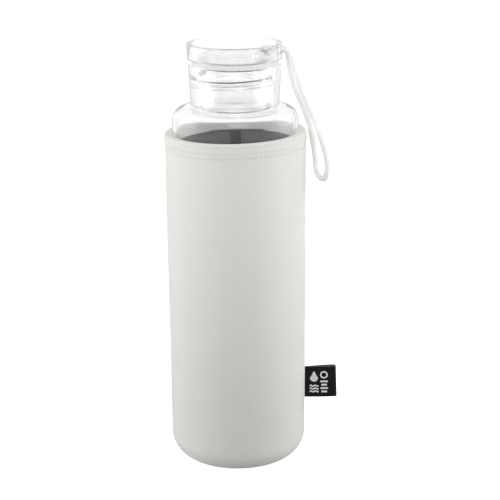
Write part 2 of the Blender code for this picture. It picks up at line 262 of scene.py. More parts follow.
def add_uv(thing, uv, rows, sides):
    """uv[row][side] in metres along the cloth; the last column runs on past the seam."""
    layer = thing.data.uv_layers.new(name="cloth")
    span = uv[0, -1, 0] - uv[0, 0, 0]
    step = span / (sides - 1)
    flat = uv.reshape(-1, 2)
    values = np.zeros((len(thing.data.loops), 2), np.float32)
    for polygon in thing.data.polygons:
        corners = [thing.data.loops[i].vertex_index for i in polygon.loop_indices]
        wraps = any(c % sides == sides - 1 for c in corners)
        for loop_index, corner in zip(polygon.loop_indices, corners):
            if corner >= len(flat):
                continue
            u, v = flat[corner]
            if wraps and corner % sides == 0:
                u += span + step
            values[loop_index] = (u, v)
    layer.data.foreach_set("uv", values.ravel())


def turned_rings(profile, sides, grow=None):
    """Rings of a turned profile; grow(angle, radius, z) adds to the radius."""
    outline = np.array(profile, float)
    angle = around(sides)
    radius = np.repeat(outline[:, :1], sides, axis=1)
    z = np.repeat(outline[:, 1:2], sides, axis=1)
    angles = np.repeat(angle[None, :], len(outline), axis=0)
    if grow:
        radius = radius + grow(angles, radius, z)
    return np.stack([radius * np.cos(angles), radius * np.sin(angles), z], axis=2)


def apply_modifiers(thing):
    """Applies every modifier."""
    graph = bpy.context.evaluated_depsgraph_get()
    mesh = bpy.data.meshes.new_from_object(thing.evaluated_get(graph))
    thing.modifiers.clear()
    thing.data = mesh


def distances(line):
    """How far along the line each of its points lies."""
    steps = np.linalg.norm(np.diff(line, axis=0), axis=1)
    return np.concatenate([[0.0], np.cumsum(steps)])


def headings(line):
    """The direction of the line at each of its points."""
    along = np.gradient(line, axis=0)
    return along / np.linalg.norm(along, axis=1)[:, None]


def around(sides):
    """The angles of that many even sides."""
    return np.linspace(0, 2 * np.pi, sides, endpoint=False)


def outward(angle):
    return Vector((math.cos(angle), math.sin(angle), 0.0))


def smooth_route(points, spacing):
    """Points at even spacing along the smooth curve through the given ones."""
    route = [Vector(p) for p in points]
    ends = [route[0] * 2 - route[1], *route, route[-1] * 2 - route[-2]]
    fine = []
    for before, start, end, after in zip(ends, ends[1:], ends[2:], ends[3:]):
        for step in range(20):
            t = step / 20
            fine.append(0.5 * ((2 * start) + (end - before) * t
                               + (2 * before - 5 * start + 4 * end - after) * t ** 2
                               + (3 * start - before - 3 * end + after) * t ** 3))
    fine.append(route[-1])
    line = np.array([tuple(p) for p in fine])
    along = distances(line)
    count = max(2, round(along[-1] / spacing) + 1)
    wanted = np.linspace(0, along[-1], count)
    return np.stack([np.interp(wanted, along, line[:, i]) for i in range(3)], axis=1)


# ---- materials -------------------------------------------
def fill(node, **values):
    """Sets a node's inputs by their names, with _ for a space."""
    for key, value in values.items():
        node.inputs[key.replace("_", " ")].default_value = value


class Nodes:
    """Short names for building one material's node tree."""

    def __init__(self, name):
        self.mat = bpy.data.materials.new(name)
        self.mat.use_nodes = True
        self.tree = self.mat.node_tree
        self.shader = self.tree.nodes["Principled BSDF"]

    def set(self, **values):
        fill(self.shader, **values)

    def new(self, kind):
        return self.tree.nodes.new("ShaderNode" + kind)

    def link(self, source, target):
        self.tree.links.new(source, target)

    def value(self, item, socket):
        """Sets a socket to a number, or links another node's output to it."""
        if isinstance(item, (int, float)):
            socket.default_value = item
        else:
            self.link(item, socket)

    def math(self, operation, first, second=0.0):
        node = self.new("Math")
        node.operation = operation
        self.value(first, node.inputs[0])
        self.value(second, node.inputs[1])
        return node.outputs[0]

    def noise(self, scale, detail=3.0, roughness=0.5):
        node = self.new("TexNoise")
        fill(node, Scale=scale, Detail=detail, Roughness=roughness)
        self.link(self.place(), node.inputs["Vector"])
        return node.outputs["Fac"]

    def place(self):
        node = self.new("TexCoord")
        return node.outputs["Object"]

    def cloth(self):
        """The two distances along the cloth, in metres."""
        node = self.new("UVMap")
        node.uv_map = "cloth"
        split = self.new("SeparateXYZ")
        self.link(node.outputs["UV"], split.inputs[0])
        return split.outputs[0], split.outputs[1]

    def mix(self, factor, dark, light):
        node = self.new("Mix")
        node.data_type = "RGBA"
        self.value(factor, node.inputs["Factor"])
        for socket, colour in (("A", dark), ("B", light)):
            if isinstance(colour, tuple):
                node.inputs[socket].default_value = (*colour, 1.0)
            else:
                self.link(colour, node.inputs[socket])
        return node.outputs["Result"]

    def colour(self, factor, dark, light):
        self.link(self.mix(factor, dark, light), self.shader.inputs["Base Color"])

    def bump(self, height, distance, strength):
        node = self.new("Bump")
        fill(node, Strength=strength, Distance=distance)
        self.link(height, node.inputs["Height"])
        self.link(node.outputs[0], self.shader.inputs["Normal"])


def knit_height(nodes, wale, course):
    """Columns of small V-shaped stitches, from distances along the cloth."""
    across, along = nodes.cloth()
    column = nodes.math("FRACT", nodes.math("DIVIDE", across, wale))
    from_middle = nodes.math("ABSOLUTE", nodes.math("SUBTRACT", column, 0.5))
    slanted = nodes.math("ADD", nodes.math("DIVIDE", along, course),
                         nodes.math("MULTIPLY", from_middle, 1.6))
    row = nodes.math("FRACT", slanted)
    loop = nodes.math("SINE", nodes.math("MULTIPLY", row, math.pi))
    side = nodes.math("SINE", nodes.math("MULTIPLY", from_middle, 2 * math.pi))
    return nodes.math("MULTIPLY", nodes.math("POWER", loop, 0.6), nodes.math("POWER", side, 0.5))


def knit_material(name, dark, light, wale=0.00048, course=0.00040):
    """Knitted cloth, with painted shade in the hollows between its stitches; wale and course are the
    width and the height of one stitch.
    """
    nodes = Nodes(name)
    nodes.set(Roughness=0.92, Sheen_Weight=0.25, Sheen_Roughness=0.5)
    nodes.set(Specular_IOR_Level=0.2)
    height = knit_height(nodes, wale, course)
    mottle = nodes.noise(55.0, 4.0, 0.6)
    # painted shade: darker where the stitches dip, from the same height as the bump; the mottle is
    # the yarn's own uneven tone
    shade = nodes.math("ADD", nodes.math("MULTIPLY", height, 0.55),
                       nodes.math("MULTIPLY", mottle, 0.45))
    nodes.colour(shade, dark, light)
    fuzz = nodes.math("MULTIPLY", nodes.noise(6000.0, 2.0, 0.6), 0.5)
    nodes.bump(nodes.math("ADD", height, fuzz), 0.00007, 0.7)
    return nodes.mat


def clear_material(name, tint, ior, wave, density, roughness):
    """Clear glass or plastic; wave is the height of the faint unevenness of a moulded surface."""
    nodes = Nodes(name)
    nodes.set(Base_Color=(*tint, 1.0), Roughness=roughness, IOR=ior, Transmission_Weight=1.0)
    nodes.bump(nodes.noise(70.0, 1.0, 0.4), wave, 1.0)
    absorption = nodes.new("VolumeAbsorption")
    fill(absorption, Color=(0.5, 0.5, 0.5, 1.0), Density=density)
    nodes.link(absorption.outputs[0], nodes.tree.nodes["Material Output"].inputs["Volume"])
    return nodes.mat


def lets_light_through(thing):
    """Clear walls hold back no lamp, and no light on its way to the cloth."""
    thing.visible_shadow = False
    thing.visible_diffuse = False


def silicone_material():
    nodes = Nodes("clear silicone")
    nodes.set(Roughness=0.35, IOR=1.41, Transmission_Weight=0.75)
    nodes.colour(nodes.noise(400.0), *SILICONE)
    nodes.bump(nodes.noise(1500.0), 0.00002, 0.5)
    return nodes.mat


def cord_material():
    """Off-white braid, with painted shade: a little darker between its strands, where they dip."""
    nodes = Nodes("braided cord")
    nodes.set(Roughness=0.85, Sheen_Weight=0.3, Sheen_Roughness=0.4, Specular_IOR_Level=0.25)
    nodes.set(Subsurface_Weight=1.0, Subsurface_Scale=0.003, Subsurface_Radius=(1.0, 1.0, 1.0))
    crown = nodes.new("Attribute")
    crown.attribute_name = "crown"
    fibre = nodes.noise(5200.0, 3.0, 0.7)
    # painted shade: the colour darkens with the crown, in the dips between the strands; the fibre
    # noise is the yarn's own tone
    shade = nodes.math("ADD", nodes.math("MULTIPLY", crown.outputs["Fac"], 0.8),
                       nodes.math("MULTIPLY", fibre, 0.2))
    nodes.colour(shade, *CORD)
    nodes.bump(fibre, 0.00005, 0.6)
    return nodes.mat


def thread_material():
    nodes = Nodes("white thread")
    nodes.set(Roughness=0.6, Sheen_Weight=0.2)
    twist = nodes.noise(4000.0, 2.0, 0.5)
    nodes.colour(twist, *THREAD)
    nodes.bump(twist, 0.00004, 0.6)
    return nodes.mat


def ribbon_material(name, dark, light, roughness, reverse=(0.0, 0.0, 0.0)):
    """Woven ribbon with fine ribs, painted darker where its threads dip (painted shade); its reverse,
    where it shows, is set apart by LABEL_BACK.
    """
    nodes = Nodes(name)
    nodes.set(Roughness=roughness, Sheen_Weight=0.05, Specular_IOR_Level=0.15)
    across, along = nodes.cloth()
    warp = nodes.math("SINE", nodes.math("MULTIPLY", across, 2 * math.pi / 0.00022))
    weft = nodes.math("SINE", nodes.math("MULTIPLY", along, 2 * math.pi / 0.00034))
    weave = nodes.math("MULTIPLY_ADD", nodes.math("MULTIPLY", warp, weft), 0.5)
    weave.node.inputs[2].default_value = 0.5
    back = nodes.math("GREATER_THAN", across, LABEL_BACK / 2)
    # painted shade: the weave's colour follows its bump, darker where the threads dip
    nodes.colour(back, nodes.mix(weave, dark, light), reverse)
    nodes.bump(weave, 0.00003, 0.6)
    return nodes.mat


def print_material():
    nodes = Nodes("white print")
    nodes.set(Roughness=0.55)
    grain = nodes.noise(3500.0, 2.0, 0.6)
    nodes.colour(grain, *PRINT)
    nodes.bump(grain, 0.00002, 0.4)
    return nodes.mat


# ---- glass bottle ----------------------------------------
def thread_height(angle, z, start_z):
    """Height from 0 to 1 of a rounded right-hand thread that runs out at both ends."""
    total = TURNS * 2 * np.pi
    height = np.zeros_like(z)
    for turn in range(math.ceil(TURNS) + 1):
        travelled = angle + 2 * np.pi * turn
        rise = ease(np.minimum(travelled, total - travelled), 0.0, math.radians(35))
        off = np.abs(z - start_z - PITCH * travelled / (2 * np.pi)) / THREAD_HALF
        height = np.maximum(height, rise * (1 - ease(off, 0.25, 1.0)))
    return height


def thread_on(rows, depth, start_z):
    """A function that raises a thread on those rows of a turned outline."""
    def grow(angle, radius, z):
        add = np.zeros_like(z)
        add[rows] = depth * thread_height(angle[rows], z[rows], start_z)
        return add

    return grow


def shoulder_line(side_r, top_z, corner_round, slope, neck_r, fillet):
    """The side turning into the sloping shoulder, and that into the neck, from below."""
    corner = arc(side_r - corner_round, top_z - corner_round, corner_round, 0, 90 - slope, 18)
    end_r, end_z = corner[-1]
    fillet_r = neck_r + fillet
    lean = math.radians(slope)
    rise = (end_r - fillet_r) * math.tan(lean)
    fillet_z = end_z + rise + fillet / math.cos(lean)
    sloping = [(end_r + (fillet_r - end_r) * step / 6, end_z + rise * step / 6) for step in (2, 4)]
    return [*corner, *sloping, *arc(fillet_r, fillet_z, fillet, -90 - slope, -180, 12)]


def make_glass(material):
    """The bottle's whole skin: up the outside, over the lip and down the inside."""
    heel_r = GLASS_R - HEEL
    inner_r = GLASS_R - GLASS_WALL
    foot_z = GLASS_LOW.z
    mouth_z = GLASS_HIGH.z
    floor_z = foot_z + PUNT + GLASS_WALL
    heel_inner = HEEL - GLASS_WALL
    inner_neck_r = NECK_R - NECK_WALL
    lip = 0.00095
    foot = [(AXIS_R, foot_z + PUNT), (heel_r * 0.45, foot_z + PUNT * 0.9),
            (heel_r * 0.8, foot_z + PUNT * 0.45), (heel_r * 0.95, foot_z + 0.0001)]
    outside = [
        *foot,
        *arc(heel_r, foot_z + HEEL, HEEL, -90, 0, 14),
        *shoulder_line(GLASS_R, SHOULDER_Z, SHOULDER_ROUND, SHOULDER_SLOPE, NECK_R, NECK_FILLET),
    ]
    fillet_z = outside[-1][1]
    neck = dense([(NECK_R, fillet_z + 0.0002), (NECK_R, mouth_z - lip - 0.0001)], THREAD_STEP)
    inside = [
        *arc(NECK_R - lip, mouth_z - lip, lip, 0, 90, 6),
        *arc(inner_neck_r + lip, mouth_z - lip, lip, 90, 180, 6),
        *reversed(shoulder_line(inner_r, SHOULDER_Z - SHOULDER_GLASS, INNER_ROUND, INNER_SLOPE,
                                inner_neck_r, INNER_FILLET)),
        *arc(inner_r - heel_inner, floor_z + heel_inner, heel_inner, 0, -90, 12),
        (heel_r * 0.5, floor_z + 0.0003),
        (AXIS_R, floor_z + 0.0005),
    ]
    thread = thread_on(slice(len(outside), len(outside) + len(neck)), THREAD_DEPTH, THREAD_START)
    rings = turned_rings([*outside, *neck, *inside], CLEAR_SIDES, thread)
    bottle = spun("bottle_glass", rings, [material])
    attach(bottle, "bottle")
    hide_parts("glass_bottle")
    lets_light_through(bottle)


# ---- lid and seal ----------------------------------------
def lid_outer_r(z):
    """Radius of the lid's tapered side."""
    share = (z - LID_LOW.z) / (LID_HIGH.z - LID_LOW.z)
    return LID_BOTTOM_R + (LID_HIGH.x - LID_BOTTOM_R) * share


def slot_cutter():
    """A slot with round ends, laid along X through the wall of the recess."""
    width, height, centre_z = 0.0078, 0.0047, 0.2165
    inner_x, outer_x = 0.0186, 0.0266
    flat = (width - height) / 2
    outline = []
    for side in (1, -1):
        for step in range(17):
            angle = -math.pi / 2 + math.pi * step / 16
            outline.append((side * (flat + height / 2 * math.cos(angle)),
                            centre_z + side * height / 2 * math.sin(angle)))
    count = len(outline)
    points = [(x, y, z) for x in (inner_x, outer_x) for y, z in outline]
    faces = [tuple(range(count)), tuple(range(2 * count - 1, count - 1, -1))]
    faces += [(i, (i + 1) % count, count + (i + 1) % count, count + i) for i in range(count)]
    cutter = new_object("slot_cutter", points, faces, [], smooth=False)
    face_out(cutter)
    return cutter


def make_lid(material):
    """The lid's whole skin, from the cap's underside round to the floor of the recess."""
    edge, foot_edge, bore_edge, corner = 0.00075, 0.0004, 0.0007, 0.0004
    top, bottom = LID_HIGH.z, LID_LOW.z
    recess_r = LID_HIGH.x - LID_RIM_WALL
    floor_r = recess_r - 0.0006
    floor_round = 0.0014
    outer_top = lid_outer_r(top - edge)
    outer_bottom = lid_outer_r(bottom + foot_edge)
    under = [
        (AXIS_R, CAP_UNDERSIDE_Z),
        *arc(LID_BORE_R - corner, CAP_UNDERSIDE_Z - corner, corner, 90, 0, 3),
    ]
    bore = dense([(LID_BORE_R, CAP_UNDERSIDE_Z - 0.0006), (LID_BORE_R, bottom + 0.0008)],
                 THREAD_STEP)
    outside = [
        *arc(LID_BORE_R + bore_edge, bottom + bore_edge, bore_edge, 180, 270, 6),
        *arc(outer_bottom - foot_edge, bottom + foot_edge, foot_edge, -90, 0, 5),
        *arc(outer_top - edge, top - edge, edge, 0, 90, 6),
        *arc(recess_r + edge, top - edge, edge, 90, 180, 6),
        *arc(floor_r - floor_round, RECESS_FLOOR_Z + floor_round, floor_round, 0, -90, 7),
        (AXIS_R, RECESS_FLOOR_Z),
    ]
    thread = thread_on(slice(len(under), len(under) + len(bore)), -LID_THREAD_DEPTH,
                       THREAD_START - PITCH / 2)
    rings = turned_rings([*under, *bore, *outside], CLEAR_SIDES, thread)
    lid = spun("screw_lid", rings, [material])
    cutter = slot_cutter()
    cut = lid.modifiers.new("cord hole", "BOOLEAN")
    cut.operation = "DIFFERENCE"
    cut.object = cutter
    apply_modifiers(lid)
    bpy.data.objects.remove(cutter)
    lid.data.set_sharp_from_angle(angle=math.radians(40))
    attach(lid, "lid")
    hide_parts("lid")
    lets_light_through(lid)


def make_seal(material):
    """A flat ring with a thin bead around its edge."""
    inner, outer = 0.0135, SEAL_HIGH.x
    low, high = SEAL_LOW.z, SEAL_HIGH.z
    middle, half = (low + high) / 2, (high - low) / 2
    profile = [
        *arc(outer - half, middle, half, -90, 90, 6),
        (outer - 0.0012, high), (outer - 0.0015, high - half * 0.4), (inner + 0.0010, high),
        *arc(inner + half, middle, half, 90, 270, 6),
        (inner + 0.0010, low), (outer - 0.0015, low + half * 0.4), (outer - 0.0012, low),
    ]
    seal = spun("lid_gasket", turned_rings(profile, 120), [material], closed=True)
    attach(seal, "seal")
    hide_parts("lid_seal")
    lets_light_through(seal)


# ---- cord ------------------------------------------------
def tube_frames(line):
    """Two directions across the line at each point, turning as little as possible."""
    along = headings(line)
    across = np.zeros_like(line)
    start = np.cross(along[0], (0.0, 0.0, 1.0))
    across[0] = start / np.linalg.norm(start)
    for index in range(1, len(line)):
        flat = across[index - 1] - along[index] * (across[index - 1] @ along[index])
        across[index] = flat / np.linalg.norm(flat)
    return across, np.cross(along, across)


def braided_tube(name, line, diameter, material):
    """A tube whose skin is a braid of two sets of strands that pass over and under each other."""
    across, up = tube_frames(line)
    travelled = distances(line)[:, None]
    angle = around(6 * BRAID_STRANDS)[None, :]
    left = BRAID_STRANDS * angle / (2 * np.pi) + travelled / BRAID_LAY
    right = BRAID_STRANDS * angle / (2 * np.pi) - travelled / BRAID_LAY
    over = (np.floor(left) + np.floor(right)) % 2 == 0
    first = np.sin(np.pi * (left % 1.0)).clip(1e-6)
    second = np.sin(np.pi * (right % 1.0)).clip(1e-6)
    crown = np.where(over, first ** 0.8 * second ** 0.3, first ** 0.3 * second ** 0.8)
    radius = diameter / 2 * (0.90 + 0.10 * crown)
    end_round = diameter * 0.35
    taper = np.clip(np.minimum(travelled, travelled[-1] - travelled) / end_round, 0.05, 1.0)
    radius = radius * np.sqrt(np.clip(1 - (1 - taper) ** 2, 0.0, 1.0))
    spoke = (np.cos(angle)[..., None] * across[:, None, :]
             + np.sin(angle)[..., None] * up[:, None, :])
    rings = line[:, None, :] + radius[..., None] * spoke
    tube = spun(name, rings, [material])
    # the strands' height, which the cord's material also uses to paint shade between the strands
    shade = tube.data.attributes.new("crown", "FLOAT", "POINT")
    values = np.concatenate([crown.ravel(), [0.5, 0.5]]).astype(np.float32)
    shade.data.foreach_set("value", values)
    return tube


def make_cord(material):
    """The hanging loop, out through the hole and back in again, and the knot that ties its ends."""
    line = smooth_route([*FRONT_LEAD, *LOOP_ROUTE, *REAR_LEAD], CORD_STEP)
    cord = braided_tube("cord_loop", line, CORD_D, material)
    knot = make_knot(material)
    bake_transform(cord)
    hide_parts("carry_cord")


def make_knot(material):
    """An overhand knot that ties both ends in the recess, and its two short tails."""
    centre = Vector((0.0162, 0.0, 0.2153))
    wide, high = 0.00095, 0.0018
    turns = []
    for step in range(60):
        t = 2 * math.pi * step / 60
        reach = 2 + math.cos(3 * t)
        turns.append((centre.x + wide * reach * math.cos(2 * t),
                      centre.y + wide * 1.15 * reach * math.sin(2 * t),
                      centre.z + high * math.sin(3 * t)))
    turns.append(turns[0])
    pieces = [braided_tube("cord_knot_turns", smooth_route(turns, KNOT_STEP), KNOT_D, material)]
    tails = (
        [(0.0156, -0.0020, 0.2150), (0.0133, -0.0036, 0.2138), (0.0112, -0.0058, 0.2130),
         (0.0098, -0.0084, 0.2129)],
        [(0.0156, 0.0020, 0.2146), (0.0136, 0.0040, 0.2134), (0.0120, 0.0066, 0.2129),
         (0.0113, 0.0090, 0.2129)],
    )
    for index, tail in enumerate(tails):
        pieces.append(braided_tube(f"cord_tail_{index}", smooth_route(tail, KNOT_STEP), TAIL_D,
                                   material))
    knot = joined("cord_end_knot", pieces)
    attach(knot, "lid")
    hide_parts("cord_knot")
    return knot


def joined(name, pieces):
    with bpy.context.temp_override(active_object=pieces[0], selected_editable_objects=pieces):
        bpy.ops.object.join()
    pieces[0].name = name
    return pieces[0]


# ---- sleeve ----------------------------------------------
def sleeve_r(z):
    """Outer radius of the sleeve's straight side."""
    return FOOT_R + (RIM_R - FOOT_R) * (z - CORNER) / (RIM_Z - CORNER)


def rim_shift(angle, z):
    """The rim stands a little higher on the cord's side than opposite it."""
    return RIM_TILT * np.cos(angle) * ease(z, RIM_Z - 0.055, RIM_Z)


def waves(angle, seed, counts):
    """A smooth uneven wave around the sleeve, from -1 to 1."""
    random = np.random.default_rng(seed)
    total = np.zeros_like(angle)
    for count in counts:
        total += random.uniform(0.4, 1.0) * np.sin(count * angle + random.uniform(0, 2 * np.pi))
    return total / len(counts)


def sleeve_surface(angle, z):
    """How far the sleeve's face stands out from its plain cone, outside."""
    hem_swell, stitch_dip, pucker, unevenness = 0.00026, 0.00009, 0.00012, 0.00010
    seam_groove, seam_ridge = 0.00042, 0.00018
    hem_line = RIM_Z - HEM_DEPTH
    out = hem_swell * ease(z, hem_line - 0.0026, hem_line + 0.0018)
    needle = 0.5 + 0.5 * np.cos(HEM_STITCHES * angle)
    for row in HEM_ROWS:
        out -= (stitch_dip + stitch_dip * needle) * hump(z, hem_line + row, 0.00055)
    out += pucker * waves(angle, 3, (19, 27, 41, 53)) * hump(z, hem_line - 0.0004, 0.0036)
    out += unevenness * waves(angle, 5, (5, 8, 13)) * ease(z, RIM_Z - 0.02, RIM_Z)
    out += unevenness * waves(angle, 9, (2, 3, 5)) * np.sin(z * 60 + 1.0)
    seam = ((angle - BACK + np.pi) % (2 * np.pi) - np.pi) * RIM_R
    upright = ease(z, 0.004, 0.010)
    out -= seam_groove * hump(seam, 0.0, 0.00040) * upright
    out += seam_ridge * hump(np.abs(seam), 0.0016, 0.0010) * upright
    return out


def make_sleeve(face_cloth, lining):
    """One cloth tube: its face outside and over the turned hem, its dark back inside."""
    corner_r = FOOT_R - CORNER
    fold, inner_fold = 0.0012, 0.0005
    hem_inner = GLASS_R + 0.00012
    inner_corner = CORNER - WALL
    hole_r = PANEL_R + 0.0002
    outside = dense([
        *arc(hole_r + 0.0006, 0.0008, 0.0006, 180, 270, 3),
        *arc(corner_r, CORNER, CORNER, -90, 0, 24),
        (sleeve_r(RIM_Z - 0.012), RIM_Z - 0.012),
    ], 0.0016)
    hem = dense([
        (sleeve_r(RIM_Z - 0.0119), RIM_Z - 0.0119),
        (sleeve_r(RIM_Z - fold), RIM_Z - fold),
    ], 0.00022)
    over = arc(RIM_R - fold, RIM_Z - fold, fold, 0, 90, 8)
    over += arc(hem_inner + inner_fold, RIM_Z - inner_fold, inner_fold, 90, 180, 6)
    turned_in = dense([
        (hem_inner, RIM_Z - inner_fold - 0.0002),
        (hem_inner + 0.0002, RIM_Z - HEM_TURN + 0.0005),
    ], 0.0006)
    raw_edge = arc(hem_inner + 0.0007, RIM_Z - HEM_TURN + 0.0005, 0.0005, 180, 270, 3)
    inside = dense([
        (sleeve_r(RIM_Z - HEM_TURN) - WALL, RIM_Z - HEM_TURN - 0.0002),
        *arc(corner_r, CORNER, inner_corner, 0, -90, 16),
        (hole_r + 0.0006, WALL),
        *arc(hole_r + 0.0006, WALL - 0.0006, 0.0006, 90, 180, 3),
    ], 0.0020)
    profile = [*outside, *hem, *over, *turned_in, *raw_edge, *inside]
    faced = len(outside) + len(hem)
    share = np.zeros(len(profile))
    share[:faced] = 1.0
    share[faced:faced + len(over)] = np.linspace(1.0, 0.05, len(over))
    share[faced + len(over):faced + len(over) + len(turned_in)] = 0.05

    def grow(angle, radius, z):
        return share[:, None] * sleeve_surface(angle, z)

    sides = 460
    rings = turned_rings(profile, sides, grow)
    angles = np.arctan2(rings[..., 1], rings[..., 0])
    rings[..., 2] += rim_shift(angles, rings[..., 2])
    white = faced + len(over) + len(turned_in) + len(raw_edge)
    slots = [0 if row < white else 1 for row in range(len(profile))]
    uv = np.stack(np.meshgrid(around(sides) * RIM_R, distances(np.array(profile))), axis=2)
    cloth = spun("sleeve_cloth", rings, [face_cloth, lining], closed=True, row_slots=slots, uv=uv)
    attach(cloth, "sleeve")
    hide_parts("sleeve_body")


def make_panel(face_cloth, lining):
    """The round bottom panel, with its edge drawn in where it is sewn."""
    radius = PANEL_R - 0.0001
    under = dense([(0.0005, 0.0), (radius - 0.0011, 0.0),
                   *arc(radius - 0.0010, 0.0010, 0.0010, -88, -10, 5)], 0.0016)
    upper = dense([*arc(radius - 0.0008, WALL - 0.0008, 0.0008, 10, 90, 5), (0.0005, WALL)], 0.0016)
    profile = [*under, *upper]
    sides = 200
    rings = turned_rings(profile, sides)
    slots = [0 if row < len(under) else 1 for row in range(len(profile))]
    uv = rings[..., :2].copy()
    panel = spun("sleeve_bottom_panel", rings, [face_cloth, lining], row_slots=slots, uv=uv)
    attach(panel, "sleeve")
    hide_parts("sleeve_base")


def make_tape(material):
    """The flat tape over the upright seam, inside at the back."""
    half, thick, gap = 0.0030, 0.0003, 0.00012
    z = np.arange(CORNER + 0.002, RIM_Z - HEM_TURN - 0.0006, 0.0012)
    across = np.linspace(-1, 1, 9)
    sides = [(x, 0) for x in across] + [(x, 1) for x in across[::-1]]
    rings = np.zeros((len(z), len(sides), 3))
    for row, height in enumerate(z):
        outer = sleeve_r(height) - WALL - gap
        for side, (x, layer) in enumerate(sides):
            thinner = 1 - 0.35 * abs(x) ** 6
            radius = outer - layer * thick * thinner
            angle = BACK + x * half / outer
            rings[row, side] = (radius * math.cos(angle), radius * math.sin(angle), height)
    uv = np.zeros((len(z), len(sides), 2))
    uv[..., 0] = np.array([x * half for x, _ in sides])[None, :]
    uv[..., 1] = z[:, None]
    tape = spun("back_seam_tape", rings, [material], uv=uv)
    tape.data.set_sharp_from_angle(angle=math.radians(50))
    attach(tape, "sleeve")
    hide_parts("seam_tape")


# ---- stitches --------------------------------------------
def stitch_points(start, end, out, thickness):
    """One stitch as a thin arched bar with rounded ends: its points and faces."""
    arch = 0.35 * thickness
    start, end, out = Vector(start), Vector(end), Vector(out).normalized()
    along = (end - start).normalized()
    side = along.cross(out).normalized()
    points = []
    rows, sides = 7, 6
    for row in range(rows):
        t = row / (rows - 1)
        round_end = math.sqrt(max(0.0, 1 - (2 * t - 1) ** 4))
        centre = start.lerp(end, t) + out * (arch * (4 * t * (1 - t)))
        for index in range(sides):
            angle = 2 * math.pi * index / sides
            reach = thickness / 2 * max(0.25, round_end)
            points.append(centre + side * (reach * math.cos(angle)) + out * (reach * math.sin(angle)))
    faces = [tuple(range(sides))[::-1], tuple(range((rows - 1) * sides, rows * sides))]
    for row in range(rows - 1):
        for index in range(sides):
            other = (index + 1) % sides
            faces.append((row * sides + index, row * sides + other,
                          (row + 1) * sides + other, (row + 1) * sides + index))
    return points, faces


def stitches(name, bars, thickness, material):
    """Many stitches as one piece; bars are (start, end, outward direction)."""
    points, faces = [], []
    for start, end, out in bars:
        more, shapes = stitch_points(start, end, out, thickness)
        faces += [tuple(i + len(points) for i in shape) for shape in shapes]
        points += more
    thing = new_object(name, points, faces, [material])
    face_out(thing)
    return thing


def on_sleeve(angle, z, lift):
    """A point at that height of the sleeve's face, and the way out of it."""
    a, height = np.array(angle), np.array(z)
    radius = sleeve_r(z) + float(sleeve_surface(a, height)) + lift
    shifted = z + float(rim_shift(a, height))
    out = outward(angle)
    return Vector((radius * out.x, radius * out.y, shifted)), out


def make_hem_stitches(material):
    """Two rows of short stitches around the hem."""
    bars = []
    lift = 0.00008
    step = 2 * math.pi / HEM_STITCHES
    for index in range(HEM_STITCHES):
        for z in (RIM_Z - HEM_DEPTH + row for row in HEM_ROWS):
            start, _ = on_sleeve((index + 0.14) * step, z, lift)
            end, _ = on_sleeve((index + 0.86) * step, z, lift)
            _, out = on_sleeve((index + 0.5) * step, z, 0.0)
            bars.append((start, end, out))
    hem = stitches("hem_stitches", bars, 0.00034, material)
    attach(hem, "sleeve")
    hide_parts("hem_thread")


def make_back_stitches(material):
    """A zigzag that joins the two edges of the upright seam."""
    bars = []
    z, step, half, lift = 0.0125, 0.0017, 0.0015, 0.00010
    while z < RIM_Z - HEM_DEPTH - 0.003:
        for side in (-1, 1):
            start, out = on_sleeve(BACK + side * half / RIM_R, z, lift)
            end, _ = on_sleeve(BACK - side * half / RIM_R, z + step / 2, lift)
            bars.append((start, end, out))
            z += step / 2
    seam = stitches("back_seam_stitches", bars, 0.00032, material)
    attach(seam, "sleeve")
    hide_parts("seam_thread")


def make_bottom_stitches(material):
    """Short stitches across the seam between the sleeve and its bottom panel."""
    bars = []
    count, depth = 84, 0.00034
    down = Vector((0, 0, -1))
    for index in range(count):
        angle = 2 * math.pi * index / count
        near = outward(angle) * (PANEL_R - 0.0011)
        far = outward(angle + 0.6 * math.pi / count) * (PANEL_R + 0.0013)
        near.z = far.z = depth
        bars.append((near, far, down))
    seam = stitches("bottom_seam_stitches", bars, 0.00030, material)
    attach(seam, "sleeve")


# ---- label -----------------------------------------------
LABEL_YAW = math.radians(5)
LABEL_THICK = 0.00034
LABEL_BACK = 0.1                # sets the ribbon's reverse apart in its own coordinates
LABEL_MID_Z = (LABEL_LOW.z + LABEL_HIGH.z) / 2
LABEL_TALL = LABEL_HIGH.z - LABEL_LOW.z
LABEL_ROOT = sleeve_r(LABEL_MID_Z) - 0.0009
LABEL_LONG = (LABEL_HIGH.x - LABEL_ROOT) / math.cos(LABEL_YAW) - 0.0003


def label_line():
    """Plan view of the folded ribbon, from its front end round the fold to its rear end."""
    root_gap, fold = 0.00025, 0.00150
    straight = LABEL_LONG - fold
    front = []
    for step in range(13):
        t = step / 12
        front.append((straight * t, -(root_gap + (fold - root_gap) * math.sin(math.pi / 2 * t))))
    bend = [(straight + fold * math.sin(a), -fold * math.cos(a))
            for a in (math.pi * step / 12 for step in range(1, 12))]
    rear = [(x, -y) for x, y in reversed(front)]
    return np.array([*front, *bend, *rear])


def label_lean(share, z):
    """The ribbon's free fold leans a little out at its lower corner."""
    return -0.00055 * z / LABEL_TALL * math.sin(math.pi * share)


def label_point(x, y, z):
    """Label coordinates, out from the sleeve, across and up, into the row frame."""
    c, s = math.cos(LABEL_YAW), math.sin(LABEL_YAW)
    return (LABEL_ROOT + x * c - y * s, x * s + y * c, LABEL_MID_Z + z)


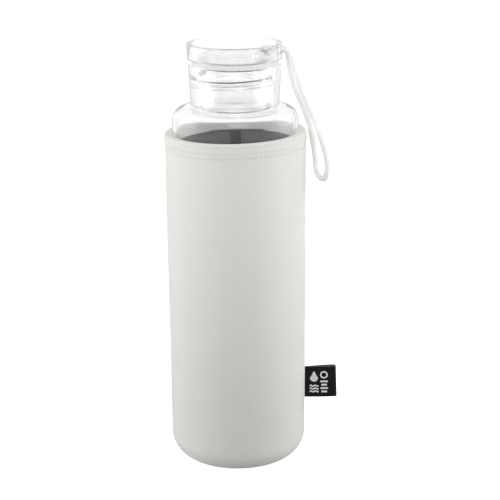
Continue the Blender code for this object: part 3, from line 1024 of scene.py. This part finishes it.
def make_label(ribbon):
    """The folded ribbon, as a thin closed band around its plan view, and the print on it."""
    line = label_line()
    along = headings(line)
    out = np.stack([along[:, 1], -along[:, 0]], axis=1)
    heights = np.linspace(-0.5, 0.5, 21) * LABEL_TALL
    travelled = distances(line)
    section = [(z, 0.5) for z in heights] + [(z, -0.5) for z in heights[::-1]]
    rings = np.zeros((len(line), len(section), 3))
    uv = np.zeros((len(line), len(section), 2))
    for row, (point, normal) in enumerate(zip(line, out)):
        share = travelled[row] / travelled[-1]
        for side, (z, layer) in enumerate(section):
            x, y = point + normal * layer * LABEL_THICK
            rings[row, side] = label_point(x + label_lean(share, z), y, z)
            uv[row, side] = (z + (LABEL_BACK if layer < 0 else 0.0), travelled[row])
    label = spun("label_ribbon", rings, [ribbon], uv=uv)
    label.data.set_sharp_from_angle(angle=math.radians(50))
    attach(label, "sleeve")
    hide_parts("side_label")
    make_label_print(line, travelled)


def make_label_print(line, travelled):
    """White print on the label's front: a drop over waves, and beside it a ring over bars."""
    front = len(line) // 2 - 5
    reach = travelled[:front]
    ink_gap, ink_thick = 0.00005, 0.00003

    def place(s, z):
        x = float(np.interp(s, reach, line[:front, 0]))
        y = float(np.interp(s, reach, line[:front, 1]))
        return label_point(x + label_lean(s / travelled[-1], z),
                           y - LABEL_THICK / 2 - ink_gap, z)

    drop_s, ring_s, size = 0.0058, 0.0111, 0.0021
    shapes = [drop_mark(drop_s, 0.0022, size)]
    shapes += [wave_mark(drop_s, z, 0.0047) for z in (-0.0022, -0.0038, -0.0054)]
    shapes += [ring_mark(ring_s, 0.0039, size)]
    shapes += [bar_mark(ring_s, z, width) for z, width in
               ((0.0002, 0.0040), (-0.0017, 0.0030), (-0.0036, 0.0040), (-0.0055, 0.0030))]
    points, faces = [], []
    for one, other in shapes:
        count, base = len(one), len(points)
        points += [place(s, z) for s, z in one] + [place(s, z) for s, z in other]
        for index in range(base, base + count - 1):
            faces.append((index, index + 1, index + count + 1, index + count))
    mark = new_object("label_print", points, faces, [print_material()], smooth=False)
    thick = mark.modifiers.new("ink", "SOLIDIFY")
    thick.thickness = ink_thick
    thick.offset = 0.0
    apply_modifiers(mark)
    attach(mark, "sleeve")


def drop_mark(s, z, size):
    """A solid drop with its point up, as its left and right sides."""
    least = 0.00002
    left, right = [], []
    for step in range(17):
        a = -math.pi / 2 + math.pi * step / 16
        taper = max(0.0, math.sin(a))
        half = size * math.cos(a) * (1 - 0.45 * taper)
        height = z + size * math.sin(a) * (1 + 0.75 * taper ** 3)
        left.append((s - half - least, height))
        right.append((s + half + least, height))
    return left, right


def wave_mark(s, z, width):
    """A level band with two waves in it."""
    swing, half = 0.00024, 0.00042
    upper, lower = [], []
    for step in range(25):
        x = s + width * (step / 24 - 0.5)
        rise = swing * math.sin(4 * math.pi * step / 24)
        upper.append((x, z + rise + half))
        lower.append((x, z + rise - half))
    return upper, lower


def ring_mark(s, z, radius):
    """An open ring."""
    hole = radius * 0.62
    outer, inner = [], []
    for step in range(33):
        a = 2 * math.pi * step / 32
        outer.append((s + radius * math.cos(a), z + radius * math.sin(a)))
        inner.append((s + hole * math.cos(a), z + hole * math.sin(a)))
    return outer, inner


def bar_mark(s, z, width):
    """A short level bar, cut fine so that it follows the ribbon."""
    half = 0.0005
    xs = [s + width * (step / 8 - 0.5) for step in range(9)]
    return [(x, z + half) for x in xs], [(x, z - half) for x in xs]


# ---- stage -----------------------------------------------
SOFT_FRONT = 0.565              # brightness of the room as the cloth sees it, towards the camera,
SOFT_BACK = 0.892               # behind the object,
SOFT_SIDE = 1.000               # how much more at the sides,
SOFT_OVERHEAD = 0.10            # and the share of it that is left overhead
EYE_WHITE = 1.1                 # brightness of the room in the picture
FLOOR_GLOW = 0.86               # light of the floor's own, which keeps it white in the picture


class TreeNodes(Nodes):
    """The same short names for a node tree that isn't a material's own."""

    def __init__(self, tree):
        self.tree = tree


def ramp(nodes, item, low, high, at_low, at_high):
    """Goes smoothly from at_low to at_high while item goes from low to high."""
    node = nodes.new("MapRange")
    node.interpolation_type = "SMOOTHSTEP"
    nodes.value(item, node.inputs["Value"])
    fill(node, From_Min=low, From_Max=high, To_Min=at_low, To_Max=at_high)
    return node.outputs["Result"]


def make_world():
    """A room that is white to the eye, and lights the cloth mostly from its sides and back.

    It is greyer overhead and at the sides as the clear walls bend it, which draws their edges.
    """
    world = bpy.data.worlds.new("studio")
    bpy.context.scene.world = world
    world.use_nodes = True
    nodes = TreeNodes(world.node_tree)
    background = nodes.tree.nodes["Background"]
    coordinates = nodes.new("TexCoord")
    split = nodes.new("SeparateXYZ")
    nodes.link(coordinates.outputs["Generated"], split.inputs[0])
    x, y, z = split.outputs
    paths = nodes.new("LightPath")
    sideways = nodes.math("ABSOLUTE", x)
    through = nodes.math("MULTIPLY", ramp(nodes, z, 0.35, 0.95, 1.02, 0.80),
                         ramp(nodes, sideways, 0.35, 0.90, 1.0, 0.75))
    mirrored = ramp(nodes, y, -0.7, 0.5, 0.40, 1.0)
    soft = nodes.math("ADD", ramp(nodes, y, -0.9, 0.3, SOFT_FRONT, SOFT_BACK),
                      ramp(nodes, sideways, 0.30, 0.95, 0.0, SOFT_SIDE))
    soft = nodes.math("MULTIPLY", soft, ramp(nodes, z, 0.35, 0.90, 1.05, SOFT_OVERHEAD))
    strength = nodes.math("MULTIPLY", paths.outputs["Is Camera Ray"], EYE_WHITE)
    for kind, level in (("Is Transmission Ray", through), ("Is Diffuse Ray", soft)):
        strength = nodes.math("ADD", strength, nodes.math("MULTIPLY", paths.outputs[kind], level))
    gloss = nodes.math("MULTIPLY", paths.outputs["Is Glossy Ray"],
                       nodes.math("SUBTRACT", 1.0, paths.outputs["Is Transmission Ray"]))
    strength = nodes.math("ADD", strength, nodes.math("MULTIPLY", gloss, mirrored))
    nodes.link(strength, background.inputs["Strength"])
    fill(background, Color=(1.0, 1.0, 1.0, 1.0))


def make_floor():
    """A pale floor, white to the eye, that throws little light on the cloth from close by."""
    size, colour = 6.0, (0.80, 0.80, 0.80)
    nodes = Nodes("pale floor")
    nodes.set(Roughness=0.9)
    paths = nodes.new("LightPath")
    length = nodes.new("VectorMath")
    length.operation = "LENGTH"
    nodes.link(nodes.place(), length.inputs[0])
    distance = length.outputs["Value"]
    # painted shadow: round the object the floor's colour turns dark for light on its way to the
    # cloth, and reflections see the whole floor darker
    near = nodes.math("MINIMUM", ramp(nodes, distance, 0.04, 0.10, 0.62, 1.00),
                      ramp(nodes, distance, 0.10, 0.38, 1.00, 0.0))
    diffuse, through = paths.outputs["Is Diffuse Ray"], paths.outputs["Is Transmission Ray"]
    gloss = nodes.math("MULTIPLY", paths.outputs["Is Glossy Ray"],
                       nodes.math("SUBTRACT", 1.0, through))
    shade = nodes.math("ADD", nodes.math("MULTIPLY", near, diffuse),
                       nodes.math("MULTIPLY", gloss, 0.6))
    nodes.colour(shade, colour, (0.0, 0.0, 0.0))
    glow = FLOOR_GLOW
    far = ramp(nodes, distance, 0.05, 0.60, -0.05, 0.28)
    for kind, less in ((diffuse, 0.75), (gloss, 0.65), (through, far)):
        glow = nodes.math("SUBTRACT", glow, nodes.math("MULTIPLY", kind, less))
    nodes.set(Emission_Color=(1.0, 1.0, 1.0, 1.0))
    nodes.link(glow, nodes.shader.inputs["Emission Strength"])
    corners = [(-size, -size, 0), (size, -size, 0), (size, size, 0), (-size, size, 0)]
    floor = new_object("floor", corners, [(0, 1, 2, 3)], [nodes.mat], smooth=False)


def make_stage():
    """The floor, the room, two big softboxes at the sides and a small light in front."""
    make_floor()
    make_world()
    soft_light("left_softbox", (-1.1, 0.15, 0.35), target=(0, 0, 0.10), size=0.9, power=5.0)
    soft_light("right_softbox", (1.1, 0.30, 0.35), target=(0, 0, 0.10), size=0.9, power=5.0)
    soft_light("front_light", (0.05, -0.45, 0.60), target=(0, 0, 0.16), size=0.35, power=1.2)
    scene = bpy.context.scene
    scene.view_settings.view_transform = "Standard"
    scene.cycles.max_bounces = 32
    scene.cycles.transmission_bounces = 32
    scene.cycles.glossy_bounces = 32
    scene.cycles.diffuse_bounces = 4


def soft_light(name, place, target, size, power):
    data = bpy.data.lights.new(name, "AREA")
    data.shape = "RECTANGLE"
    data.size = data.size_y = size
    data.energy = power
    lamp = bpy.data.objects.new(name, data)
    lamp.location = place
    direction = Vector(target) - Vector(place)
    lamp.rotation_euler = direction.to_track_quat("-Z", "Y").to_euler()
    lamp.visible_glossy = False
    bpy.context.scene.collection.objects.link(lamp)


# ---- all of it -------------------------------------------
make_camera()
make_cord(cord_material())
make_glass(clear_material("bottle glass", (0.99, 0.995, 0.995), ior=1.52, wave=0.00002, density=4.0,
                          roughness=0.06))
make_lid(clear_material("clear plastic", (0.96, 0.96, 0.96), ior=1.49, wave=0.00001, density=8.0,
                        roughness=0.12))
make_seal(silicone_material())
face_cloth = knit_material("sleeve knit", *FACE_CLOTH)
lining = knit_material("dark lining", *LINING, wale=0.0006, course=0.0005)
make_sleeve(face_cloth, lining)
make_panel(face_cloth, lining)
make_tape(ribbon_material("seam tape weave", *TAPE, roughness=0.8))
white_thread = thread_material()
make_hem_stitches(white_thread)
make_back_stitches(white_thread)
make_bottom_stitches(white_thread)
make_label(ribbon_material("label satin", *RIBBON, roughness=0.45, reverse=RIBBON_REVERSE))
make_stage()
